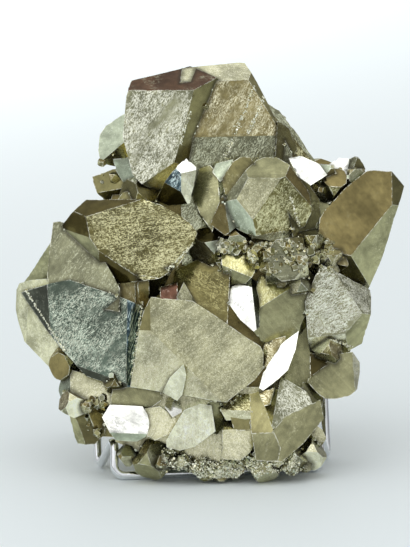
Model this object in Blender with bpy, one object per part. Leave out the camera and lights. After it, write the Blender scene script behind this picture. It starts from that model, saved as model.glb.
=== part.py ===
"""Pyrite specimen on a display stand.

A cluster of pyrite crystals that grew into each other, about 158 mm wide, 111 mm deep and 159 mm
high, sits in a stand bent from one closed loop of chromed wire. The cluster is one solid. It is
laid out in its own axes, in millimetres: u to the right, v up and out towards the front, with u
and v zero at the middle of the stand's front rail. The stand is laid out in x, y and z, with its
front rail along x.
"""

import math
import random

import bmesh
import bpy
from mathutils import Matrix, Vector

MM = 0.001

# How the cluster sits on the stand: turned to one side, leaning back, and down at one side.
TURN_DEG = -5.0
LEAN_DEG = 12.0
ROLL_DEG = 1.2

# The stand, in mm.
WIRE_RADIUS = 1.75
STAND_MIDDLE_X = 3.5
RAIL_HALF = 42.0
LIP_HALF = 41.0
LIP_BACK = 5.0
LIP_HEIGHT = 17.0
NOTCH_HALF = 46.5
NOTCH_BACK = 24.0
NOTCH_HEIGHT = -0.9  # of the corner before it is bent, so that the bend rests on the table
SUPPORT_BACK = 52.0
SUPPORT_HEIGHT = 92.0
FOOT_BACK = 88.0
BEND_RADIUS = 4.0
BEND_STEPS = 5
CLEARANCE = 0.3

# Slopes between crystal faces, as the fall of one face away from its edge with another.
VICINAL = 0.15  # a growth face that is barely turned
BEVEL = 0.7
CUBE_TO_OCTAHEDRON = 1.41

# How far the corner faces of a small crystal lie from its middle, for a block of half size 1.
OCTAHEDRAL = 1.25
BLOCKY = 1.6
CUBIC = 2.3

# The fringe of small crystals along the foot, in mm.
DRUSE_COUNT = 26
DRUSE_LEFT = -20.0
DRUSE_WIDTH = 46.0
DRUSE_HEIGHT = 4.5
DRUSE_WAVE = 2.0
DRUSE_WAVES = 9.0  # radians of the wave over the whole fringe
DRUSE_OUT = 13.0

# The rows of crystals over the back, in mm.
BACK_LOWEST = 33
BACK_HIGHEST = 141
BACK_ROW_STEP = 15
BACK_HALF_WIDTH = 13.0
BACK_BULGE = 13.0  # how much wider the back is in the middle of its height
BACK_HEIGHT = 150.0
BACK_MIDDLE = 78.0
BACK_OUT = -51.0
BACK_CURVE_ACROSS = 0.016  # how fast the back rounds forward, per mm
BACK_CURVE_UP = 0.0022

# Tolerances of the modelling steps, in metres but for the first, which is in mm.
CUT_TOLERANCE = 1e-5
WELD = 1e-6

BRASSY = (0.52, 0.47, 0.33, 1.0)
CHROME = (0.78, 0.79, 0.80, 1.0)


def clear_scene():
    for item in list(bpy.data.objects):
        bpy.data.objects.remove(item, do_unlink=True)


def new_collection(name):
    collection = bpy.data.collections.new(name)
    bpy.context.scene.collection.children.link(collection)
    return collection


def new_material(name, colour, metallic, roughness):
    material = bpy.data.materials.new(name)
    material.use_nodes = True
    shader = material.node_tree.nodes["Principled BSDF"]
    shader.inputs["Base Color"].default_value = colour
    shader.inputs["Metallic"].default_value = metallic
    shader.inputs["Roughness"].default_value = roughness
    return material


def cluster_axes():
    """The matrix from cluster axes (u, v, out) to the stand's x, y and z."""
    turn = math.radians(TURN_DEG)
    lean = math.radians(LEAN_DEG)
    roll = math.radians(ROLL_DEG)
    level_right = Vector((math.cos(turn), math.sin(turn), 0))
    level_up = Vector(
        (-math.sin(turn) * math.sin(lean), math.cos(turn) * math.sin(lean), math.cos(lean))
    )
    out = level_right.cross(level_up)
    right = level_right * math.cos(roll) - level_up * math.sin(roll)
    up = level_right * math.sin(roll) + level_up * math.cos(roll)
    return Matrix((right, up, out)).transposed().to_4x4()


def cleave(bm, point, normal):
    """Splits the block on a plane, drops the side that the normal points to, and closes the rest."""
    everything = bm.verts[:] + bm.edges[:] + bm.faces[:]
    bmesh.ops.bisect_plane(
        bm, geom=everything, dist=CUT_TOLERANCE, plane_co=point, plane_no=normal, clear_outer=True
    )
    rim = [edge for edge in bm.edges if edge.is_boundary]
    if rim:
        bmesh.ops.holes_fill(bm, edges=rim, sides=0)


class Facet:
    """A flat face, as how far out it lies: it falls by right and up for each mm that way."""

    def __init__(self, u, v, out, right, up):
        self.right = right
        self.up = up
        self.rise = out + right * u + up * v

    def at(self, u, v):
        return self.rise - self.right * u - self.up * v


class Crystal:
    """A convex crystal: a block cleaved along its main face, the faces that fold off it, and walls."""

    def __init__(self, at, faces, back, reach=60.0):
        self.u, self.v, out = at
        self.main = Facet(self.u, self.v, out, *faces)
        self.back = back
        self.reach = reach
        self.facets = {"main": self.main}
        self.planes = [((self.u, self.v, out), (faces[0], faces[1], 1.0))]

    def outward(self, start, end):
        """The unit direction in u and v across the edge from start to end, away from the middle."""
        along = Vector(end) - Vector(start)
        across = Vector((along.y, -along.x)).normalized()
        middle = Vector((self.u, self.v)) - Vector(start)
        return -across if across.dot(middle) > 0 else across

    def fold(self, start, end, fall, name=None, off="main"):
        """A face that falls away beyond the edge from start to end."""
        parent = self.facets[off]
        across = self.outward(start, end)
        facet = Facet(
            start[0],
            start[1],
            parent.at(*start),
            parent.right + fall * across.x,
            parent.up + fall * across.y,
        )
        self.facets[name or len(self.facets)] = facet
        self.planes.append(((start[0], start[1], parent.at(*start)), (facet.right, facet.up, 1.0)))
        return self

    def wall(self, *points, under=0.25, off="main"):
        """Sides that run back from the edges between the points and narrow towards the back."""
        parent = self.facets[off]
        for start, end in zip(points, points[1:]):
            across = self.outward(start, end)
            normal = (
                across.x - under * parent.right,
                across.y - under * parent.up,
                -under,
            )
            self.planes.append(((start[0], start[1], parent.at(*start)), normal))
        return self

    def mesh(self, bm):
        bmesh.ops.create_cube(bm, size=2.0)
        front = self.main.at(self.u, self.v) + self.reach
        middle = (front + self.back) / 2
        size = (self.reach, self.reach, (front - self.back) / 2)
        bmesh.ops.scale(bm, vec=size, verts=bm.verts)
        bmesh.ops.translate(bm, vec=(self.u, self.v, middle), verts=bm.verts)
        for point, normal in self.planes:
            cleave(bm, point, Vector(normal).normalized())


def upper_crystals():
    """The two large crystals at the top, and what shows behind them."""
    yield (
        Crystal(at=(-22, 138, 2), faces=(-0.12, 0.10), back=-42)
        .fold((-33, 155), (-1, 155), 1.3, "top bevel")
        .fold((-7, 153), (-15, 123.5), 0.9, "right strip")
        .fold((-27, 117.5), (-15, 125.5), 1.2, "lower tip")
        .wall((-35, 151), (-35, 136), (-31, 121), (-26, 116))
        .wall((-36, 149), (-31.5, 159), (-8, 165), (1, 161), off="top bevel")
    )
    yield (
        Crystal(at=(10, 145, -3), faces=(0.10, 0.13), back=-46)
        .fold((4, 159), (18, 159.5), 1.2, "top")
        .fold((17, 157), (28, 139), CUBE_TO_OCTAHEDRON, "right")
        .fold((-10, 136), (30, 137), VICINAL, "lower")
        .wall((-9, 165), (12, 167.5), (14.5, 167), (19, 159), (24, 149), (29, 138), under=0.1)
        .wall((-12, 90), (-12, 150), under=0.1)
    )
    yield (
        Crystal(at=(30, 134, -4), faces=(0.45, -0.05), back=-40)
        .wall((27, 143), (32, 140), (35, 131), (31.5, 127), (26, 124), (27, 143), under=0.1)
    )
    yield (
        Crystal(at=(33, 135, -14), faces=(0.35, 0.3), back=-44)
        .fold((28, 143), (38, 131), BEVEL)
        .wall((24, 150), (30, 147), (36, 137.5), (43, 128), (42, 115), (26, 112), (22, 130))
    )
    yield (
        Crystal(at=(-39, 133, -12), faces=(-0.30, 0.05), back=-40)
        .fold((-41, 129), (-35, 134), CUBE_TO_OCTAHEDRON)
        .wall((-30, 148), (-36, 145), (-42, 141), (-44.5, 137.5), (-45, 131), (-44, 126), (-40, 123.5))
        .wall((-40, 123.5), (-30, 120), (-26, 150))
    )
    yield (
        Crystal(at=(-35, 122, -5), faces=(-0.45, -0.1), back=-36)
        .wall((-39, 127.5), (-38, 123), (-34, 116.5), (-30, 119), (-30, 128), (-39, 127.5))
    )
    yield (
        Crystal(at=(-42, 117.5, -10), faces=(-0.25, 0.4), back=-36)
        .fold((-45, 114), (-36, 115.5), CUBE_TO_OCTAHEDRON)
        .wall(
            (-36, 124), (-39, 123.5), (-47.5, 120.5), (-47, 118),
            (-45, 113), (-43, 110), (-34, 110), (-34, 124),
        )
    )
    yield (
        Crystal(at=(-32, 113.5, 0), faces=(0.0, 0.7), back=-30)
        .wall((-37, 111), (-35, 114), (-29, 115.5), (-26, 112), (-30, 108), (-37, 111))
    )


def middle_crystals():
    """The wedge in the middle of the left side and the domed group to its right."""
    yield (
        Crystal(at=(-8.5, 116, 10), faces=(0.25, -0.12), back=-30)
        .fold((-11.5, 121.5), (-5, 123), 0.65, "white face")
        .fold((-11.5, 121.5), (-11.5, 112), BEVEL, "left face")
        .fold((-20, 119), (-11.5, 114), 0.6, "dark face", off="left face")
        .fold((-25, 115), (-9, 108.5), BEVEL, "lower face", off="left face")
        .wall((-15, 123), (-9.5, 129), (-5, 123.5), (-6, 119), (-7, 110), (-15, 107))
        .wall((-15, 107), (-27, 111), (-26, 116), (-17, 122.5), under=0.1)
    )
    yield (
        Crystal(at=(-1, 113, 3), faces=(-0.35, 0.10), back=-30)
        .wall((-4.5, 123.5), (0, 125), (3, 122), (4, 110), (1, 98), (-4, 105), (-7, 113), (-4.5, 123.5))
    )
    yield (
        Crystal(at=(4, 123, 5), faces=(-0.10, 0.65), back=-30)
        .wall((1, 122), (2.5, 125.5), (9, 127), (11, 124), (4, 118), (1, 122))
    )
    yield (
        Crystal(at=(10.5, 121, 9), faces=(-0.30, 0.12), back=-30)
        .wall(
            (4.5, 119), (9, 126), (12, 128), (16, 128), (18, 125),
            (16, 119), (10, 113), (6, 113), (4.5, 119),
        )
    )
    yield (
        Crystal(at=(19, 112, 15), faces=(-0.04, 0.03), back=-34)
        .fold((15, 119.5), (27, 119.5), BEVEL, "crown")
        .fold((27, 117.5), (17.5, 103.5), 0.5, "lower right")
        .fold((29.5, 121), (35.5, 98), 1.1, "right")
        .fold((15.5, 120), (10.5, 111), 0.9, "upper left")
        .fold((10.5, 111), (17, 103), 0.8, "lower left")
        .wall((13, 122), (17.5, 127.5), (21, 129.5), (27, 129.5), (32, 126), (40, 117), (44, 111))
        .wall((44, 111), (44.5, 105), (41, 96.5), (34, 95), (14, 95.5), (6, 98), (4, 103), under=0.45)
    )
    yield (
        Crystal(at=(5, 104, 10), faces=(-0.35, -0.1), back=-30)
        .fold((6.5, 106), (8, 97), BEVEL, "striped face")
        .wall((0, 101), (5, 113), (11, 109.5), (13, 101), (6, 96.5), (0, 101))
    )
    yield (
        Crystal(at=(37, 107, 7), faces=(0.65, -0.05), back=-30)
        .wall((29, 120.5), (32, 122.5), (40, 117), (44, 111), (44.5, 105), (41, 96.5), (33, 96), (29, 120))
    )


def left_crystals():
    """The three large crystals down the left side and the pale one behind them."""
    yield (
        Crystal(at=(-27, 97, 13), faces=(0.05, 0.14), back=-25)
        .fold((-42, 106.5), (-31, 110), 1.1, "top")
        .fold((-50, 106.5), (-48.5, 98), 0.9, "upper left")
        .fold((-49, 97), (-43, 88), 1.3, "left")
        .fold((-44, 90), (-31, 81.5), 0.8, "lower left")
        .wall((-60, 102), (-50, 112), (-27, 111.2), (-20, 109), (-15.5, 106.5), (-8, 102), under=0.15)
        .wall((-8, 102), (-5, 97.5), (-7, 93), (-13, 84), (-20, 79.5), (-37, 76.5), under=0.15)
    )
    yield (
        Crystal(at=(-51, 84, 10), faces=(-0.40, 0.10), back=-24.6)
        .wall((-49, 97), (-60, 102.5), (-63, 102), (-65.5, 80), (-62, 70), (-36, 66), under=0.1)
        .wall((-36, 66), (-36, 75.5), (-49, 99), under=0.0)
    )
    yield (
        Crystal(at=(-48, 57, 13), faces=(-0.22, -0.10), back=-19.5)
        .fold((-65, 76), (-64, 62), 1.0, "left")
        .fold((-33, 75), (-33.5, 37), 0.8, "mirror strip")
        .fold((-60, 47), (-36, 38.5), 0.5, "lower")
        .wall((-66, 77), (-56, 79), (-30, 70), under=0.1)
        .wall((-60, 80), (-68, 80), (-77, 73), (-66, 59), under=0.1, off="left")
        .wall((-66, 59), (-52, 41), (-35, 35.5), (-24, 38), (-24, 67), under=0.1)
    )
    yield (
        Crystal(at=(-68, 60, -5), faces=(-0.45, -0.2), back=-26)
        .fold((-73, 77), (-74, 56), BEVEL)
        .wall((-62, 80), (-70, 79), (-77, 78.5), (-79, 75), (-79.2, 67), (-77.5, 61), (-75, 54), (-68, 47))
        .wall((-68, 47), (-65, 44), (-61, 44.5), (-54, 46), (-54, 80))
    )


def centre_crystals():
    """The broad pale crystal in the middle, and the golden and grey ones above and beside it."""
    yield (
        Crystal(at=(-5, 51, 19), faces=(0.05, 0.06), back=-40)
        .fold((-24, 72), (-23, 35), VICINAL, "left part")
        .fold((-10, 45), (6, 29), 0.22, "lower part")
        .wall((-33, 36), (-27, 66), (-23.5, 72), (-7, 70.5), (20, 52.5), (21.3, 50), (21.3, 43.5), (18, 39))
        .wall((18, 39), (11, 33.5), (6.5, 30), (-33, 36), under=0.1)
    )
    yield (
        Crystal(at=(-14, 38.5, 21), faces=(-0.35, -0.25), back=-10)
        .wall((-19, 34), (-16, 40), (-10.5, 45.5), (-9.5, 41), (-11, 33), (-13, 30.5), (-19, 34))
    )
    yield (
        Crystal(at=(-2, 77, 8), faces=(-0.25, 0.30), back=-40)
        .wall(
            (-14, 83), (-4, 87.5), (2, 88.5), (6, 86), (8, 83),
            (7, 60), (-3, 60), (-16, 74), (-14, 83), under=0.1,
        )
    )
    yield (
        Crystal(at=(11, 86, 9), faces=(0.10, 0.40), back=-40)
        .fold((9, 83), (15, 80.5), 1.0, "green face")
        .wall(
            (4.5, 88.5), (5.5, 91), (12, 91), (17, 87.5), (18, 82),
            (15, 77), (8, 73.5), (5, 73), (4.5, 88.5),
        )
    )
    yield (
        Crystal(at=(13, 69, 13), faces=(-0.10, 0.62), back=-30)
        .fold((16.5, 79), (18.2, 62), BEVEL, "right")
        .wall((4.5, 73.5), (16, 80), (20, 78), (20, 60), (16, 57.5), (12, 63), (7.5, 67), (4.5, 73.5))
    )
    yield (
        Crystal(at=(29, 64, 11), faces=(0.12, -0.10), back=-34)
        .fold((18, 66.5), (32, 75.5), BEVEL, "khaki face")
        .fold((35, 58), (41.5, 72), 0.8, "right")
        .wall((16, 66), (18, 82), (25, 83), (43, 73), (42, 64), (36, 56), (30, 53.5), (22, 52.5), (16, 60))
    )
    yield (
        Crystal(at=(27.5, 47, 25), faces=(0.10, 0.55), back=-10)
        .wall(
            (35.5, 58.7), (34, 51), (31, 43), (26, 38.5), (21, 35),
            (19.5, 36), (21, 42), (28, 53), (35.5, 58.7),
        )
    )
    yield (
        Crystal(at=(25, 51, 17), faces=(-0.5, 0.35), back=-10)
        .wall((22, 54), (30, 56.5), (30, 48), (24, 44), (20, 44), (22, 54))
    )


def wedged_crystals():
    """Narrow crystals wedged between the left shoulder and the broad pale one."""
    yield (
        Crystal(at=(-26.5, 74, 13), faces=(0.35, -0.2), back=-10)
        .wall((-29.5, 81), (-24.5, 80), (-24, 68), (-27, 65.5), (-28.5, 71), (-29.5, 81), under=0.1)
    )
    yield (
        Crystal(at=(-20, 77, 8), faces=(-0.3, -0.9), back=-10)
        .wall((-25, 81), (-14, 85), (-20, 73), (-25, 70), (-25, 81), under=0.1)
    )
    yield (
        Crystal(at=(-16, 75, 10), faces=(-0.3, 0.3), back=-10)
        .wall((-20, 76), (-13, 78), (-13, 70), (-20, 70), (-20, 76), under=0.1)
    )
    yield (
        Crystal(at=(-10.5, 74, 11), faces=(0.5, 0.2), back=-10)
        .wall((-13.5, 72), (-10.5, 78), (-6, 70), (-10, 68), (-13.5, 72), under=0.1)
    )


def right_crystals():
    """The long brown crystal at the right, the speckled one under it, and their neighbours."""
    yield (
        Crystal(at=(59, 106, 3), faces=(-0.06, 0.18), back=-27)
        .fold((73, 121), (73, 109), 1.0, "upper right")
        .fold((73, 109), (56.5, 88.5), 1.2, "side")
        .fold((44, 91), (56, 88.5), 1.6, "underside")
        .wall(
            (43.5, 88), (43.5, 98), (44, 103.5), (49, 111.5),
            (54, 115.5), (59, 121), (63, 123), (73, 122.5),
        )
        .wall((73, 122.5), (76, 119), (79, 115.5), (79.2, 111), (75.5, 102), (69, 87), (65, 74), under=0.0)
    )
    yield (
        Crystal(at=(48, 69, 10), faces=(0.15, -0.10), back=-31.8)
        .fold((52, 79), (61, 65.5), 1.0, "upper right")
        .fold((61.5, 66), (54, 57), 0.9, "lower right")
        .fold((37, 55.5), (52, 57), BEVEL, "underside")
        .wall(
            (38, 82), (44, 85), (52, 82), (66, 76), (66.3, 69.5),
            (65, 63.5), (64, 56.5), (62.5, 52), (58, 50),
        )
        .wall((58, 50), (44, 49), (34, 50), (34, 60), (38, 70), (37, 82), under=0.1)
    )
    yield (
        Crystal(at=(50, 40, 9), faces=(0.12, 0.08), back=-21)
        .fold((57, 49), (58, 35), BEVEL)
        .wall(
            (40, 42), (46, 45.7), (50, 49), (57, 50), (60.5, 46),
            (60.5, 42), (59, 35), (56, 32.5), (50, 31),
        )
        .wall((50, 31), (46, 31.3), (43, 33.5), (39, 38), (40, 42))
    )
    yield (
        Crystal(at=(42.5, 46, 10), faces=(0.30, 0.45), back=-20)
        .wall((40, 40), (40, 49.5), (47, 49), (47, 45), (40, 40))
    )
    yield (
        Crystal(at=(37, 46, 14), faces=(-0.2, 0.3), back=-20)
        .wall((34, 50.5), (40.5, 49.5), (39, 38.5), (35, 42), (34, 50.5))
    )
    yield (
        Crystal(at=(39, 123, -1), faces=(-0.10, 0.55), back=-36)
        .fold((33, 125), (37, 117), BEVEL)
        .wall((31, 127.5), (36, 129), (44, 125.5), (47, 121), (40, 116.5), (33, 120), (31, 127.5))
    )
    yield (
        Crystal(at=(52, 124.5, -6), faces=(0.05, 0.50), back=-36)
        .fold((56, 127), (55, 120), BEVEL)
        .wall(
            (48, 125.5), (52, 128), (57, 127.5), (59.5, 123),
            (57, 119), (52, 118), (47, 121), (48, 125.5),
        )
    )


def foot_crystals():
    """The smaller crystals along the bottom."""
    yield (
        Crystal(at=(-48, 34, 5), faces=(-0.06, 0.10), back=-20)
        .fold((-56, 41), (-56, 32), 1.2, "left")
        .fold((-56, 31), (-40, 29), BEVEL, "lower")
        .wall(
            (-59, 44), (-62, 36), (-62.3, 34), (-61, 31), (-58.5, 25.5),
            (-50, 24), (-38, 28), (-38, 37), (-59, 44),
        )
    )
    yield (
        Crystal(at=(-51, 20, 1), faces=(-0.25, -0.05), back=-19)
        .fold((-54, 24), (-50, 13), BEVEL)
        .wall((-57, 26), (-56, 20), (-55, 15.5), (-53.5, 12.5), (-46, 13), (-42, 17), (-42, 28), (-57, 28))
    )
    yield (
        Crystal(at=(-44, 24.5, 4), faces=(0.35, -0.15), back=-18)
        .wall((-49, 26), (-41, 30), (-40, 22), (-46, 17), (-49, 26))
    )
    yield (
        Crystal(at=(-33, 22, 17), faces=(-0.05, 0.42), back=-12)
        .fold((-40, 18), (-26, 17.5), 1.2, "underside")
        .wall((-43, 24), (-40, 29), (-27, 28.2), (-25, 25), (-24, 21), (-25.5, 16), (-29, 13.5))
        .wall((-29, 13.5), (-38, 14), (-43, 24))
    )
    yield (
        Crystal(at=(-29, 32, 13), faces=(-0.10, 0.0), back=-20)
        .wall((-39, 35.5), (-20, 36.5), (-19, 31), (-26, 26), (-33, 24), (-40, 28), (-39, 35.5))
    )
    yield (
        Crystal(at=(-20, 22, 15), faces=(0.10, 0.12), back=-18)
        .wall((-26, 27.5), (-20, 28.3), (-13, 23), (-14.5, 18), (-22, 14.7), (-25, 16.5), (-26, 27.5))
    )
    yield (
        Crystal(at=(-14, 29, 14), faces=(0.25, 0.45), back=-14)
        .wall((-17, 32), (-12, 31), (-11, 26), (-15, 24), (-18, 28), (-17, 32))
    )
    yield (
        Crystal(at=(-6, 20, 19), faces=(0.06, -0.10), back=-14)
        .wall(
            (-10.5, 27), (-4, 29.5), (0.5, 28.7), (2.2, 18.5),
            (-6, 12.5), (-12, 10.8), (-17.5, 12), (-17.5, 15),
        )
        .wall((-17.5, 15), (-10.5, 27))
    )
    yield (
        Crystal(at=(5, 26.5, 15), faces=(0.45, -0.45), back=-14)
        .wall((-1, 30), (12, 34), (14, 30), (3, 17), (-1, 18), (-1, 30))
    )
    yield (
        Crystal(at=(11, 29.5, 16), faces=(-0.05, 0.55), back=-14)
        .fold((5, 27), (17, 26.5), BEVEL)
        .wall((4, 27), (10, 33.5), (17, 33.5), (17, 23), (6, 22), (4, 27))
    )
    yield (
        Crystal(at=(11, 13, 19), faces=(0.12, 0.10), back=-14)
        .fold((5, 19), (15.5, 19.5), 1.3, "rim")
        .wall((5, 8), (5, 24), (15, 25), (17.5, 17), (17, 11), (12, 7), (5, 7.5), under=0.1)
    )
    yield (
        Crystal(at=(32, 31, 13), faces=(0.10, 0.22), back=-20)
        .fold((24.5, 20), (27.5, 36), 0.85, "tan face")
        .fold((24, 19), (38.5, 24.5), 0.9, "grey face")
        .wall((16.5, 33), (32, 42), (37, 39), (39, 34), (44, 31), (45, 22), (43, 18))
        .wall((43, 18), (34, 11), (30, 7.5), (21, 6), (17, 8), (16, 34), under=0.1)
    )
    yield (
        Crystal(at=(21, 33.5, 14), faces=(-0.1, 0.5), back=-14)
        .wall((17, 33), (26, 36), (24, 29), (19, 28), (17, 33))
    )
    yield (
        Crystal(at=(40.5, 29, 9), faces=(0.5, 0.1), back=-16)
        .wall((37, 38), (42, 37), (45, 31), (45, 22), (40, 20), (37, 26), (37, 38))
    )


class Grain:
    """A small crystal: a cube or an octahedron with its corners cut, turned any way."""

    def __init__(self, at, size, habit, turn):
        self.at = Vector(at)
        self.size = size
        self.habit = habit
        self.turn = Matrix.Rotation(turn[2], 3, "Z") @ Matrix.Rotation(turn[1], 3, "Y")
        self.turn = self.turn @ Matrix.Rotation(turn[0], 3, "X")

    def mesh(self, bm):
        bmesh.ops.create_cube(bm, size=2.0)
        corners = [(x, y, z) for x in (-1, 1) for y in (-1, 1) for z in (-1, 1)]
        for corner in corners:
            cleave(bm, Vector(corner) * self.habit / 3, Vector(corner).normalized())
        matrix = Matrix.Translation(self.at) @ (self.turn * self.size).to_4x4()
        bmesh.ops.transform(bm, matrix=matrix, verts=bm.verts)


def chosen_grains():
    """Small crystals with a place of their own: u, v and out, half size, habit and turns."""
    places = (
        ((20, 90, 9), 6.0, OCTAHEDRAL),
        ((30, 86.5, 8), 8.5, CUBIC),
        ((38, 88, 5), 6.5, OCTAHEDRAL),
        ((40, 94, 5), 4.5, CUBIC),
        ((4, 92.5, 8), 4.0, OCTAHEDRAL),
        ((0, 92, 3), 6.0, CUBIC),
        ((10.5, 94, 5), 4.5, CUBIC),
        ((47, 122, -4), 4.5, OCTAHEDRAL),
        ((50, 117, -5), 5.0, CUBIC),
        ((45, 115, -4), 5.5, OCTAHEDRAL),
        ((58.5, 120, -5), 3.5, CUBIC),
        ((58, 124, -9), 4.5, OCTAHEDRAL),
        ((48, 87, 4), 4.5, CUBIC),
        ((52, 86, 3), 4.0, OCTAHEDRAL),
        ((36, 77.5, 9), 4.5, CUBIC),
        ((29, 78, 9), 3.5, OCTAHEDRAL),
        ((47, 50, 6), 4.5, CUBIC),
        ((-28, 113, -4), 6.0, CUBIC),
        ((-12, 128, -4), 5.0, OCTAHEDRAL),
        ((-55, 29, 4), 4.2, CUBIC),
        ((-49.5, 28, 6), 3.2, OCTAHEDRAL),
        ((-57, 45, -2), 5.5, CUBIC),
        ((-38, 38, 10), 3.5, CUBIC),
        ((-15, 9, 10), 5.5, OCTAHEDRAL),
        ((-23, 7, 9), 6.0, CUBIC),
        ((-33, 9, 6), 4.8, OCTAHEDRAL),
        ((33, 7, 13), 4.5, CUBIC),
        ((40, 9, 9), 4.8, CUBIC),
        ((38, 5, 11), 3.6, OCTAHEDRAL),
        ((41, 15, 5), 4.0, CUBIC),
        ((22, 4, 14), 4.5, CUBIC),
        ((6, 32, 14), 3.5, CUBIC),
    )
    dice = random.Random(11)
    for at, size, habit in places:
        turn = [dice.uniform(-0.8, 0.8) for _ in range(3)]
        yield Grain(at, size, habit, turn)


def druse(dice):
    """The fringe of small crystals along the foot of the cluster."""
    for n in range(DRUSE_COUNT):
        along = n / (DRUSE_COUNT - 1)
        u = DRUSE_LEFT + DRUSE_WIDTH * along
        v = DRUSE_HEIGHT + DRUSE_WAVE * math.sin(DRUSE_WAVES * along) + dice.uniform(-1.0, 2.5)
        at = (u, v, DRUSE_OUT + dice.uniform(-2.5, 2.5))
        turn = [dice.uniform(-1.2, 1.2) for _ in range(3)]
        yield Grain(at, dice.uniform(2.3, 3.6), dice.choice((OCTAHEDRAL, CUBIC)), turn)


def back_crystals(dice):
    """Blocky crystals over the rounded back, with room for the wire at its sides."""
    for row, v in enumerate(range(BACK_LOWEST, BACK_HIGHEST + 1, BACK_ROW_STEP)):
        half_width = BACK_HALF_WIDTH + BACK_BULGE * math.sin(math.pi * v / BACK_HEIGHT)
        count = 4 if row % 2 else 3
        for n in range(count):
            u = half_width * (2 * n / (count - 1) - 1) + dice.uniform(-3, 3)
            rounding = BACK_CURVE_ACROSS * u**2 + BACK_CURVE_UP * (v - BACK_MIDDLE) ** 2
            out = BACK_OUT + rounding + dice.uniform(-3, 5)
            size = dice.uniform(7.5, 12.0)
            habit = dice.choice((OCTAHEDRAL, BLOCKY, CUBIC))
            turn = [dice.uniform(-0.7, 0.7) for _ in range(3)]
            yield Grain((u, v + dice.uniform(-3, 3), out), size, habit, turn)
    shoulders = ((-30, 113, -30, 10), (43, 116, -28, 9), (52, 112, -22, 7), (22, 127, -40, 9))
    for u, v, out, size in shoulders:
        turn = [dice.uniform(-0.6, 0.6) for _ in range(3)]
        yield Grain((u, v, out), size, CUBIC, turn)


def core():
    """The solid mass that the crystals grow from."""
    yield (
        Crystal(at=(-2, 80, -10), faces=(0.0, 0.0), back=-46, reach=90)
        .wall((-34, 128), (-10, 146), (22, 144), (39, 124), (39, 66), (36, 34), (30, 14), under=0.2)
        .wall((30, 14), (-30, 14), (-38, 30), (-42, 60), (-44, 100), (-34, 128), under=0.2)
    )
    yield (
        Crystal(at=(46, 70, -8), faces=(0.0, 0.0), back=-25, reach=60)
        .wall((30, 34), (52, 38), (60, 60), (62, 84), (52, 116), (30, 118), (30, 34), under=0.15)
    )
    yield (
        Crystal(at=(-46, 70, -5), faces=(0.0, 0.0), back=-18.5, reach=60)
        .wall((-30, 30), (-52, 42), (-62, 66), (-58, 96), (-46, 107), (-30, 110), (-30, 30), under=0.15)
    )
    yield (
        Crystal(at=(-44, 32, 0), faces=(0.0, 0.0), back=-16)
        .wall((-30, 15), (-46, 16), (-54, 24), (-58, 42), (-30, 50), (-30, 15), under=0.15)
    )
    yield (
        Crystal(at=(-2, 24, 8), faces=(0.0, 0.0), back=-24)
        .wall((-40, 36), (40, 36), (40, 12), (26, 5), (-16, 5), (-38, 14), (-40, 36), under=0.15)
    )


def crystal_object(number, shape, axes, collection):
    bm = bmesh.new()
    shape.mesh(bm)
    bmesh.ops.scale(bm, vec=(MM, MM, MM), verts=bm.verts)
    bmesh.ops.transform(bm, matrix=axes, verts=bm.verts)
    bmesh.ops.recalc_face_normals(bm, faces=bm.faces)
    if not bm.faces:
        raise ValueError(f"crystal {number} has no face left")
    mesh = bpy.data.meshes.new(f"crystal_{number:03d}")
    bm.to_mesh(mesh)
    bm.free()
    item = bpy.data.objects.new(mesh.name, mesh)
    item.hide_render = True
    item.display_type = "WIRE"
    collection.objects.link(item)


def outer_shell(bm):
    """Drops the closed shells inside the largest one: the sealed hollows between crystals."""
    left = set(bm.faces)
    shells = []
    while left:
        shell = {left.pop()}
        edge_of_shell = list(shell)
        while edge_of_shell:
            face = edge_of_shell.pop()
            for edge in face.edges:
                for near in edge.link_faces:
                    if near in left:
                        left.remove(near)
                        shell.add(near)
                        edge_of_shell.append(near)
        shells.append(shell)
    shells.sort(key=lambda shell: sum(face.calc_area() for face in shell))
    inside = [face for shell in shells[:-1] for face in shell]
    bmesh.ops.delete(bm, geom=inside, context="FACES")


def joined(first, growth):
    """The first crystal with all the others joined to it, solid all through."""
    join = first.modifiers.new("grown_together", "BOOLEAN")
    join.operation = "UNION"
    join.operand_type = "COLLECTION"
    join.collection = growth
    join.solver = "EXACT"
    bpy.context.view_layer.update()
    evaluated = first.evaluated_get(bpy.context.evaluated_depsgraph_get())
    mesh = bpy.data.meshes.new_from_object(evaluated)
    bm = bmesh.new()
    bm.from_mesh(mesh)
    bmesh.ops.remove_doubles(bm, verts=bm.verts, dist=WELD)
    outer_shell(bm)
    bm.to_mesh(mesh)
    bm.free()
    return mesh


def build_cluster(parts, growth, clearance):
    """One solid: the core with every crystal joined to it, less the room for the wire."""
    axes = cluster_axes()
    dice = random.Random(5)
    shapes = [
        *core(),
        *upper_crystals(),
        *middle_crystals(),
        *left_crystals(),
        *centre_crystals(),
        *wedged_crystals(),
        *right_crystals(),
        *foot_crystals(),
        *chosen_grains(),
        *druse(dice),
        *back_crystals(dice),
    ]
    for number, shape in enumerate(shapes):
        crystal_object(number, shape, axes, growth)
    first = growth.objects[0]
    growth.objects.unlink(first)
    parts.objects.link(first)
    mesh = joined(first, growth)
    bpy.data.objects.remove(first)
    cluster = bpy.data.objects.new("pyrite_cluster", mesh)
    mesh.materials.clear()
    mesh.materials.append(new_material("pyrite", BRASSY, 0.9, 0.3))
    parts.objects.link(cluster)
    room = cluster.modifiers.new("room_for_wire", "BOOLEAN")
    room.operation = "DIFFERENCE"
    room.object = clearance
    room.solver = "EXACT"
    return cluster


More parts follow.
